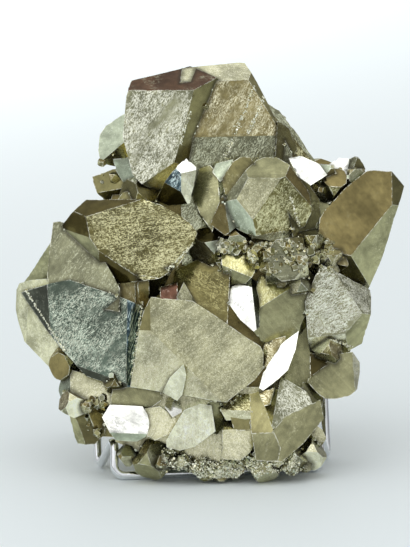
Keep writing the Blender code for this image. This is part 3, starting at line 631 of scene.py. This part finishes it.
def give_lots(shape):
    lots = shape.faces.layers.float_vector.new("facet_lot")
    turns = shape.faces.layers.float.new("streak_turn")
    dice = random.Random(21)
    seen = {}
    for face in shape.faces:
        key = plane_key(face)
        if key not in seen:
            seen[key] = Vector([dice.random() for _ in range(3)]), -dice.uniform(0, math.pi)
        face[lots], face[turns] = seen[key]
        face.material_index = finish_index[finishes[face.index]]
    for point, degrees in STREAK_TURNS.items():
        for face in faces_at(shape, point):
            face[turns] = -math.radians(degrees)


give_lots(cluster_shape)
print("planes with a streak turn of their own:", len(STREAK_TURNS))

# %% [markdown]
# ## Ridges, cracks and small triangles
# Only points can store how far the nearest ridge or crack is, and a large face has points at its corners
# alone. So we first note points along every ridge and crack, and then divide the faces into small
# triangles. The rounds of dividing are counted, because a sliver could ask for one more for ever.

# %% Divide the faces
LONGEST_EDGE_MM = 2.2
DIVIDE_ROUNDS = 5
CREASE_DEG = 4.0
CREASE_STEP_MM = 0.6


def crease_points(shape):
    """Points along every ridge and along every crack, whose edges are also marked as sharp."""
    ridges, cracks = [], []
    for edge in shape.edges:
        creased = edge.calc_face_angle(0) > math.radians(CREASE_DEG)
        edge.smooth = not creased
        if creased:
            start, end = (v.co for v in edge.verts)
            count = max(1, round((end - start).length / MM / CREASE_STEP_MM))
            kind = ridges if edge.is_convex else cracks
            kind += [start.lerp(end, n / count) for n in range(count + 1)]
    return ridges, cracks


def divide(shape):
    bmesh.ops.triangulate(shape, faces=shape.faces)
    for _ in range(DIVIDE_ROUNDS):
        long_edges = [e for e in shape.edges if e.calc_length() > LONGEST_EDGE_MM * MM]
        bmesh.ops.subdivide_edges(shape, edges=long_edges, cuts=1)
        bmesh.ops.triangulate(shape, faces=[f for f in shape.faces if len(f.verts) > 3])


ridge_points, crack_points = crease_points(cluster_shape)
divide(cluster_shape)
print("triangles:", len(cluster_shape.faces), "ridge points:", len(ridge_points))

# %% [markdown]
# ## Natural faces
# A real face is never quite flat, and a real ridge is chipped. We move each point a little along its
# normal: by a slow noise everywhere, so reflections slide over the face, and inwards by a fast noise on
# the ridges, so they lose their ruled look. The moves stay under a millimetre and inside the box.

# %% Swell and chip the mesh
SWELL_MM, SWELL_LENGTH_MM = 0.28, 11.0
CHIP_MM, CHIP_LENGTH_MM, CHIP_POWER = 0.9, 2.6, 1.5
ON_RIDGE_MM = 0.15


def tree_of(points):
    tree = KDTree(len(points))
    for n, point in enumerate(points):
        tree.insert(point, n)
    tree.balance()
    return tree


def swell_and_chip(shape):
    margin = shape.verts.layers.float.new("margin_mm")
    crack = shape.verts.layers.float.new("crack_mm")
    ridges, cracks = tree_of(ridge_points), tree_of(crack_points)
    moves = []
    for vert in shape.verts:
        to_ridge = ridges.find(vert.co)[2] / MM
        vert[crack] = cracks.find(vert.co)[2] / MM
        vert[margin] = min(to_ridge, vert[crack])
        point = vert.co / MM
        height = SWELL_MM * noise.noise(point / SWELL_LENGTH_MM)
        if to_ridge < ON_RIDGE_MM:
            height -= CHIP_MM * max(0.0, noise.noise(point / CHIP_LENGTH_MM)) ** CHIP_POWER
        moves.append(vert.normal * height * MM)
    for vert, move in zip(shape.verts, moves):
        moved = vert.co + move
        vert.co = [min(max(x, a), b) for x, a, b in zip(moved, cad_low, cad_high)]
    for face in shape.faces:
        face.smooth = True
    return max(move.length for move in moves) / MM


print("largest move, mm:", round(swell_and_chip(cluster_shape), 2))

# %% [markdown]
# ## The cluster
# The finished mesh gets all the finishes, one slot each, and takes the place of the frame's cluster.

# %% Show the cluster
def new_mesh(name):
    """An empty mesh with a slot for each finish, in the order of the table."""
    mesh = bpy.data.meshes.new(name)
    for material in pyrite.values():
        mesh.materials.append(material)
    return mesh


def show(name, mesh):
    item = bpy.data.objects.new(name, mesh)
    bpy.context.scene.collection.objects.link(item)
    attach(item, "root")
    return item


crystal_mesh = new_mesh("pyrite_crystals")
cluster_shape.to_mesh(crystal_mesh)
cluster_shape.free()
cluster = show("pyrite_crystals", crystal_mesh)
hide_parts("pyrite_cluster")
print("cluster:", len(crystal_mesh.polygons), "triangles;", len(crack_points), "points in cracks")

# %% [markdown]
# ## Fine crystals
# The last crystals to grow are the smallest: they fill the cracks and crust the foot of the specimen.
# Each is a cube with its corners cut. Cutting thousands of cubes would be slow, so we make three habits
# once, as hulls of their corner points, and then copy them with seeded turns, sizes and finishes.

# %% Three habits of small crystal
HABIT_CUTS = (1.45, 2.0, 2.55)  # from nearly an octahedron to nearly a cube
ONE_PLANE_RAD = 0.02


def corner_points(cut):
    """Corners of a cube of half side 1, cut where |x| + |y| + |z| would pass the given value."""
    flat = (1, cut - 1, 0) if cut < 2 else (1, 1, cut - 2)
    ways = set(itertools.permutations(flat))
    signs = tuple(itertools.product((-1, 1), repeat=3))
    return {tuple(a * b for a, b in zip(way, sign)) for way in ways for sign in signs}


def habit(cut):
    shape = bmesh.new()
    made = [shape.verts.new(p) for p in sorted(corner_points(cut))]
    bmesh.ops.convex_hull(shape, input=made)
    bmesh.ops.dissolve_limit(
        shape, angle_limit=ONE_PLANE_RAD, verts=shape.verts, edges=shape.edges
    )
    shape.verts.index_update()
    points = [v.co.copy() for v in shape.verts]
    polygons = [[v.index for v in f.verts] for f in shape.faces]
    shape.free()
    return points, polygons


HABITS = [habit(cut) for cut in HABIT_CUTS]
print("habits:", [f"{len(points)} corners, {len(faces)} faces" for points, faces in HABITS])

# %% [markdown]
# ## Where the cracks and the foot have crystals
# Crystals in the cracks stand on the crack points that we noted above. Those of the foot stand where
# rays from the front meet it, most of them low and near the middle, and none on its showy faces. A
# crystal's size is half its side, and small ones are far more common than large ones.

# %% Places in the cracks and on the foot
CRACK_CRYSTALS = 900
CRACK_SIZE = (0.35, 1.15)
FOOT_CRYSTALS = 2800
FOOT_SIZE = (0.16, 0.5)
FOOT_SIDES = (-20.0, 42.0, 4.0)  # from u, to u, and where they are thickest
FOOT_TALL = 13.0
FOOT_LOW = 1.4
KEPT_BARE = ("cream", "mirror", "sand")
MANY_SMALL = 2.0
MANY_VERY_SMALL = 2.5


def some_size(dice, sizes, power=MANY_SMALL):
    low, high = sizes
    return low + (high - low) * dice.random() ** power


def crack_places(points, dice):
    return [
        (dice.choice(points), some_size(dice, CRACK_SIZE, MANY_VERY_SMALL))
        for _ in range(CRACK_CRYSTALS)
    ]


def foot_places(dice):
    found = []
    for _ in range(FOOT_CRYSTALS):
        across = dice.triangular(*FOOT_SIDES)
        up = dice.uniform(0, 1) ** FOOT_LOW * FOOT_TALL
        at, face = front_hit(across, up)
        if at and finishes[face] not in KEPT_BARE:
            found.append((at, some_size(dice, FOOT_SIZE)))
    return found


fine_dice = random.Random(33)
fine_places = crack_places(crack_points, fine_dice)
foot_crust = foot_places(fine_dice)
print("in cracks:", len(fine_places), "on the foot:", len(foot_crust))

# %% [markdown]
# ## Broken ridges
# A knocked ridge is a row of bright splinters. Each row gives its two ends as (u, v) and how far the
# splinters stray from the line between them. On the top crystal the rows are steps across a face.

# %% Places along broken ridges
CHIPS_PER_MM = 5.0
CHIP_SIZE = (0.12, 0.36)
BROKEN_RIDGES = (
    ((-27, 70), (-31.5, 40), 0.25),
    ((-74, 75), (-58, 50), 0.25),
    ((-6, 94), (-17, 83), 0.25),
    ((-8, 146), (-12, 133), 0.25),
    ((48, 55), (62, 50), 0.25),
    ((32, 112), (36, 100), 0.25),
    ((18, 157), (11, 140), 0.5),
    ((11, 140), (6, 128), 0.6),
    ((22, 153), (15, 137), 0.4),
)


def chip_places(dice):
    found = []
    for start, end, stray in BROKEN_RIDGES:
        start, end = Vector(start), Vector(end)
        for _ in range(round((end - start).length * CHIPS_PER_MM)):
            spot = start.lerp(end, dice.random())
            spot += Vector((dice.gauss(0, stray), dice.gauss(0, stray)))
            found.append((front_hit(*spot)[0], dice.uniform(*CHIP_SIZE)))
    return [(at, size) for at, size in found if at]


ridge_splinters = chip_places(fine_dice)
print("splinters:", len(ridge_splinters))

# %% [markdown]
# ## Pockets
# Between the large crystals lie pockets full of brown and golden ones, larger than those in the cracks.
# Each row gives the pocket's sides in u, its sides in v and how many rays look for a place in it.

# %% Places in the pockets
POCKETS = (
    ((3.0, 50.0), (82.0, 94.5), 190),
    ((-50.0, -40.0), (15.0, 32.0), 24),
    ((-44.0, -36.0), (118.0, 131.0), 12),
)
POCKET_SIZE = (0.4, 2.0)
POCKET_KEPT = ("brassy", "mirror", "pale", "bronze")


def pocket_places(dice):
    found = []
    for across, up, count in POCKETS:
        for _ in range(count):
            at, face = front_hit(dice.uniform(*across), dice.uniform(*up))
            if at and finishes[face] not in POCKET_KEPT:
                found.append((at, some_size(dice, POCKET_SIZE)))
    return found


pocket_dice = random.Random(44)
pockets = pocket_places(pocket_dice)
print("in pockets:", len(pockets))

# %% [markdown]
# ## Growing them
# One mesh holds all crystals of a kind. Every face draws its own finish and lot, so that neighbours
# flash one by one. The materials also ask how far the nearest edge and crack are, and these crystals are
# too small for a margin or for the grime and painted shade of cracks, so the same distance is stored at
# all their points.

# %% Grow the fine crystals
CRACK_FINISHES = ("silver", "khaki", "beige", "olive", "pale", "cream", "brown", "clay")
POCKET_FINISHES = ("tan", "tan", "bronze", "khaki", "clay", "beige", "brown", "olive", "gold")
FOOT_FINISHES = ("clay", "pale", "pale", "beige", "sand", "sand", "sand", "frost", "frost", "cream")
SPLINTER_FINISHES = ("cream", "sand", "frost")
NO_EDGE_NEAR_MM = 5.0


def random_turn(dice):
    way = Vector([dice.gauss(0, 1) for _ in range(3)])
    return Matrix.Rotation(dice.uniform(0, math.tau), 3, way.normalized())


def in_frame_box(points):
    return all(a < x < b for p in points for a, x, b in zip(cad_low, p, cad_high))


def store_no_edges(mesh):
    for name in ("margin_mm", "crack_mm"):
        layer = mesh.attributes.new(name, "FLOAT", "POINT")
        layer.data.foreach_set("value", [NO_EDGE_NEAR_MM] * len(mesh.vertices))


def fine_crystals(name, places, choices, dice):
    points, polygons, finish, lots = [], [], [], []
    for at, size in places:
        corners, faces = dice.choice(HABITS)
        turn = random_turn(dice)
        found = [at + turn @ corner * size * MM for corner in corners]
        if not in_frame_box(found):
            continue
        start = len(points)
        points += found
        for face in faces:
            polygons.append([start + n for n in face])
            finish.append(finish_index[dice.choice(choices)])
            lots += [dice.random() for _ in range(3)]
    mesh = new_mesh(name)
    mesh.from_pydata(points, [], polygons)
    mesh.polygons.foreach_set("material_index", finish)
    mesh.attributes.new("facet_lot", "FLOAT_VECTOR", "FACE").data.foreach_set("vector", lots)
    store_no_edges(mesh)
    print(name + ":", len(polygons), "faces")
    show(name, mesh)


fine_crystals("crack_crystals", fine_places, CRACK_FINISHES, fine_dice)
fine_crystals("pocket_crystals", pockets, POCKET_FINISHES, pocket_dice)
fine_crystals("foot_crystals", foot_crust, FOOT_FINISHES, fine_dice)
fine_crystals("ridge_chips", ridge_splinters, SPLINTER_FINISHES, fine_dice)

# %% [markdown]
# ## Broad smooth faces at the foot
# Between the crust and the crystals above it lie a few broad smooth faces, the fronts of slabs that grew
# across their neighbours. Each row gives a finish, a point on the front, how the front slopes, and its
# corners. The hull of the front and of a copy set back into the cluster makes a closed slab.

# %% Slabs
# finish, (u, v, out) on the front, its slopes along u and v, its corners (u, v)
SLABS = (
    ("tan", (19, 20, 18.6), (-0.10, -0.15),
     ((15.8, 33.5), (19.3, 34.5), (22.6, 26.5), (25.4, 18.3), (24.6, 8.0), (18.4, 7.4), (16.2, 19.5))),
    ("khaki", (27, 14, 19.3), (-0.13, -0.07),
     ((23.6, 17.0), (30.0, 24.4), (44.0, 31.0), (45.4, 23.5), (37.0, 13.4), (28.5, 6.2), (21.4, 6.6))),
    ("khaki", (27, 14, 19.5), (-0.13, -0.07),
     ((16.6, 17.6), (25.4, 18.0), (28.0, 12.0), (27.0, 6.6), (18.2, 6.9))),
    ("olive", (12, 22, 17.6), (0.02, -0.30),
     ((7.8, 25.2), (15.9, 25.2), (15.9, 18.8), (9.6, 18.8))),
)
SLAB_DEEP = 7.0
SLAB_TAPER = 0.92
SLAB_TURN = -1.0
SLAB_PLANE_RAD = 0.01


def slab_points(middle, slopes, corners):
    """The corners of the front, then of the back, which is a little smaller."""
    def out_at(u, v):
        return middle[2] + slopes[0] * (u - middle[0]) + slopes[1] * (v - middle[1])

    mean = [sum(corner[n] for corner in corners) / len(corners) for n in (0, 1)]
    inner = [[m + (x - m) * SLAB_TAPER for m, x in zip(mean, corner)] for corner in corners]
    front = [place(u, v, out_at(u, v)) for u, v in corners]
    return front + [place(u, v, out_at(u, v) - SLAB_DEEP) for u, v in inner]


def slabs():
    shape = bmesh.new()
    lots = shape.faces.layers.float_vector.new("facet_lot")
    turns = shape.faces.layers.float.new("streak_turn")
    dice = random.Random(5)
    for finish, middle, slopes, corners in SLABS:
        before = set(shape.faces)
        made = [shape.verts.new(p) for p in slab_points(middle, slopes, corners)]
        bmesh.ops.convex_hull(shape, input=made)
        lot = Vector([dice.random() for _ in range(3)])
        for face in set(shape.faces) - before:
            face.material_index = finish_index[finish]
            face[lots], face[turns] = lot, SLAB_TURN
    bmesh.ops.dissolve_limit(
        shape, angle_limit=SLAB_PLANE_RAD, verts=shape.verts, edges=shape.edges
    )
    mesh = new_mesh("foot_slabs")
    shape.to_mesh(mesh)
    shape.free()
    store_no_edges(mesh)
    show("foot_slabs", mesh)
    print("slabs:", len(SLABS), "with", len(mesh.polygons), "faces")


slabs()

# %% [markdown]
# ## The display stand
# The stand is a loop of bright wire. The frame's wire has eight flat sides, which show in polish. So we
# bend the same loop again with a round section: straight runs joined by arcs of one radius.

# %% The wire loop
RAIL_HALF = 42.0
LIP = (41.0, 5.0, 17.0)
NOTCH = (46.5, 24.0, -0.9)
SUPPORT = (46.5, 52.0, 92.0)
FOOT = (46.5, 88.0, WIRE_RADIUS)
BEND_RADIUS = 4.0
BEND_STEPS = 10


def wire_corners():
    """The corners in mm, right, back and up from the middle of the front rail."""
    side = [Vector(p) for p in ((RAIL_HALF, 0, WIRE_RADIUS), LIP, NOTCH, SUPPORT, FOOT)]
    other = [Vector((-p.x, p.y, p.z)) for p in reversed(side)]
    return [Vector((STAND_MIDDLE, 0, 0)) + p for p in (*side, *other)]


def bent(corners):
    """Points along the loop, with each corner turned into an arc."""
    points = []
    for n, corner in enumerate(corners):
        to_last = (corners[n - 1] - corner).normalized()
        to_next = (corners[(n + 1) % len(corners)] - corner).normalized()
        half_angle = to_last.angle(to_next) / 2
        reach = BEND_RADIUS / math.tan(half_angle)
        centre = corner + (to_last + to_next).normalized() * BEND_RADIUS / math.sin(half_angle)
        first = (corner + to_last * reach - centre).normalized()
        last = (corner + to_next * reach - centre).normalized()
        for step in range(BEND_STEPS + 1):
            points.append(centre + first.slerp(last, step / BEND_STEPS) * BEND_RADIUS)
    return points


wire_points = bent(wire_corners())
print("points along the loop:", len(wire_points))

# %% [markdown]
# ## Chrome
# Polished chrome is nearly white metal. The same noise that tarnishes the pyrite serves here as smears
# from handling: they change the colour a little and the roughness a little more.

# %% Chrome and the wire
SMEAR_SIZE = 6.0
SMEARED, CLEAN_CHROME = (0.72, 0.74, 0.76, 1), (0.86, 0.87, 0.88, 1)
CHROME_ROUGHNESS, SMEAR_ROUGHNESS = 0.10, 0.08
WIRE_SLACK = 0.02  # keeps the round wire inside the frame's box
WIRE_ROUNDNESS = 7


def chromed_wire_material():
    material = bpy.data.materials.new("chromed_wire")
    material.use_nodes = True
    nodes = Tree(material.node_tree)
    shader = material.node_tree.nodes["Principled BSDF"]
    shader.inputs["Metallic"].default_value = 1.0
    here = nodes.stretch(nodes.add("ShaderNodeTexCoord").outputs["Object"], 1 / MM)
    smears = use_group(nodes, patchy_tarnish, Vector=here, Patch_Size=SMEAR_SIZE)["Mask"]
    nodes.feed(shader, "Base Color", nodes.blend(smears, SMEARED, CLEAN_CHROME))
    dulled = nodes.math("MULTIPLY_ADD", smears, SMEAR_ROUGHNESS, CHROME_ROUGHNESS)
    nodes.feed(shader, "Roughness", dulled)
    return material


def display_wire():
    curve = bpy.data.curves.new("bent_wire", "CURVE")
    curve.dimensions = "3D"
    curve.bevel_depth = (WIRE_RADIUS - WIRE_SLACK) * MM
    curve.bevel_resolution = WIRE_ROUNDNESS
    spline = curve.splines.new("POLY")
    spline.points.add(len(wire_points) - 1)
    for knot, point in zip(spline.points, wire_points):
        knot.co = (*(zero + point * MM), 1)
    spline.use_cyclic_u = True
    spline.use_smooth = True
    curve.materials.append(chromed_wire_material())
    wire = show("bent_wire", curve)
    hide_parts("wire_stand")
    print("wire thickness, mm:", round(2 * curve.bevel_depth / MM, 2))


display_wire()

# %% [markdown]
# ## Floor
# A plain pale floor carries the specimen, takes its shadow and throws light up under it.

# %% Floor
FLOOR_RADIUS = 6.0  # metres
FLOOR_COLOUR = (0.86, 0.915, 0.925, 1)
FLOOR_ROUGHNESS = 0.6


def pale_floor():
    bpy.ops.mesh.primitive_circle_add(vertices=96, radius=FLOOR_RADIUS, fill_type="NGON")
    floor = bpy.context.active_object
    floor.name = "pale_floor"
    material = bpy.data.materials.new("pale_floor")
    material.use_nodes = True
    shader = material.node_tree.nodes["Principled BSDF"]
    shader.inputs["Base Color"].default_value = FLOOR_COLOUR
    shader.inputs["Roughness"].default_value = FLOOR_ROUGHNESS
    floor.data.materials.append(material)
    floor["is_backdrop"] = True
    print("floor:", round(2 * FLOOR_RADIUS, 1), "m across")


pale_floor()

# %% [markdown]
# ## Room
# Metal only shows what it reflects, so the room matters more than any lamp. It is twice as bright above
# as low down, which shades each face from top to bottom, and a little dimmer at the sides, most of all
# on the right, which leaves the faces that look sideways their own colour.

# %% Room light
ROOM_COLOUR = (0.97, 0.99, 1.0, 1)
ROOM_LOW, ROOM_HIGH = 0.48, 0.98
ROOM_RISE = (-0.1, 0.6)
ROOM_SIDES_DIM, ROOM_RIGHT_DIM = 0.22, 0.10
ROOM_SIDES = (0.2, 0.9)


def soft_room():
    world = bpy.data.worlds.new("soft_room")
    world.use_nodes = True
    bpy.context.scene.world = world
    nodes = Tree(world.node_tree)
    direction = nodes.add("ShaderNodeTexCoord").outputs["Generated"]
    parts = nodes.add("ShaderNodeSeparateXYZ", Vector=direction).outputs
    raised = between(nodes, nodes.steps(parts["Z"], *ROOM_RISE), ROOM_LOW, ROOM_HIGH)
    aside = nodes.steps(nodes.math("ABSOLUTE", parts["X"]), *ROOM_SIDES)
    sides = nodes.math("MULTIPLY", aside, -ROOM_SIDES_DIM)
    sideways = nodes.math("MULTIPLY_ADD", parts["X"], -ROOM_RIGHT_DIM, sides)
    back = world.node_tree.nodes["Background"]
    back.inputs["Color"].default_value = ROOM_COLOUR
    nodes.feed(back, "Strength", nodes.math("ADD", raised, sideways))
    print("room:", ROOM_LOW, "low down,", ROOM_HIGH, "above")


soft_room()

# %% [markdown]
# ## Soft lamps
# A wide window on the left shapes the large crystals. A smaller lamp above the front is what the mirror
# faces that tilt up reflect, so they flash white. The last one lifts the floor behind, on the left.

# %% Lamps
# name, where, aim, width, height, watts
LAMPS = (
    ("window_left", (-1.3, -0.9, 0.9), (0, 0, 0.08), 1.3, 1.3, 2.6),
    ("lamp_above", (0.0, -0.55, 1.25), (0, 0, 0.08), 0.7, 0.6, 1.05),
    ("wall_wash", (-0.4, 1.3, 0.6), (-0.5, 1.6, 0.0), 0.8, 0.8, 7.0),
)


def soft_lamp(name, where, aim, width, height, watts):
    light = bpy.data.lights.new(name, "AREA")
    light.shape = "RECTANGLE"
    light.size, light.size_y = width, height
    light.energy = watts
    item = bpy.data.objects.new(name, light)
    item.location = where
    item.rotation_euler = (Vector(aim) - Vector(where)).to_track_quat("-Z", "Y").to_euler()
    bpy.context.scene.collection.objects.link(item)


for lamp in LAMPS:
    soft_lamp(*lamp)
print("lamps:", ", ".join(lamp[0] for lamp in LAMPS))

# %% [markdown]
# ## Camera
# The camera stands well back with a long lens, so that parallel edges stay nearly parallel, and looks
# down at the specimen along the depth of the cluster's own axes. The Standard view shows each colour as
# it was computed, so a face that mirrors a lamp is plain white, as polished metal looks.

# %% Camera
PICTURE_TALL = 218.8  # what the picture's long side covers at the specimen, in mm
DISTANCE = 2600.0
AIM = (-2.0, 81.4, 10.0)
SENSOR = 36.0


def portrait_camera():
    camera = bpy.data.cameras.new("portrait")
    camera.sensor_width = SENSOR
    camera.lens = SENSOR * DISTANCE / PICTURE_TALL
    item = bpy.data.objects.new("portrait", camera)
    u, v, out = AIM
    stand_point = axes.to_4x4()
    stand_point.translation = place(u, v, out + DISTANCE)
    item.matrix_world = stand_point
    bpy.context.scene.collection.objects.link(item)
    bpy.context.scene.camera = item
    print("lens, mm:", round(camera.lens, 1))


portrait_camera()
bpy.context.scene.view_settings.view_transform = "Standard"

# %% [markdown]
# How far the dressed specimen reaches past the frame's box on each axis is printed, in millimetres.
# The dressed specimen must stay inside the frame's box.

# %% Print how far it reaches past the box
bpy.context.view_layer.update()
low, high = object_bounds()
over = [max(a - b, c - d, 0) for a, b, c, d in zip(cad_low, low, high, cad_high)]
print("outside the frame's box, mm:", [round(x / MM, 3) for x in over])
